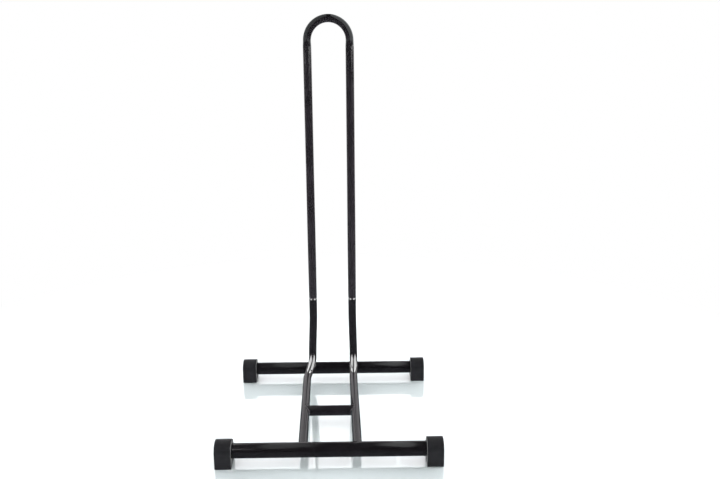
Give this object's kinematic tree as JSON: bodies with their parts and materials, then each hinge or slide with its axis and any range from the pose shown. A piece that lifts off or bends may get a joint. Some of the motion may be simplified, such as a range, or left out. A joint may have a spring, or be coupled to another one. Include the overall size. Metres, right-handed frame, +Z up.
{
  "type": "bicycle floor stand",
  "caption": "Free-standing bicycle floor stand: a welded tube base on rubber feet holds a wheel between its side tubes, and a tall lift-off hoop steadies the tyre.",
  "frame": {"origin": "on the floor, in the middle of the stand's footprint", "axes": "+X across the stand along its cross bars, +Y from the open front to the hoop, +Z up"},
  "size_m": [0.38, 0.361, 0.739],
  "materials": {
    "bar_coat": "black powder coat, satin",
    "tube_coat": "black powder coat, satin",
    "hoop_coat": "black powder coat, satin",
    "weld_coat": "black powder coat over rippled weld",
    "foot_rubber": "matte moulded black rubber"
  },
  "bodies": {
    "base": {"front_cross_bar": "bar_coat", "rear_cross_bar": "bar_coat", "left_side_tube": "tube_coat", "right_side_tube": "tube_coat", "wheel_brace": "tube_coat", "front_left_foot": "foot_rubber", "front_right_foot": "foot_rubber", "rear_left_foot": "foot_rubber", "rear_right_foot": "foot_rubber", "front_weld_left": "weld_coat", "front_weld_right": "weld_coat", "brace_weld_left": "weld_coat", "brace_weld_right": "weld_coat", "rear_weld_left_outer": "weld_coat", "rear_weld_left_inner": "weld_coat", "rear_weld_right_outer": "weld_coat", "rear_weld_right_inner": "weld_coat"},
    "hoop": {"hoop": "hoop_coat"}
  },
  "joints": [
    {"name": "hoop_lift", "type": "slide", "parent": "base", "child": "hoop", "axis": [0, 0, 1], "range_m": [0, 0.06]}
  ]
}
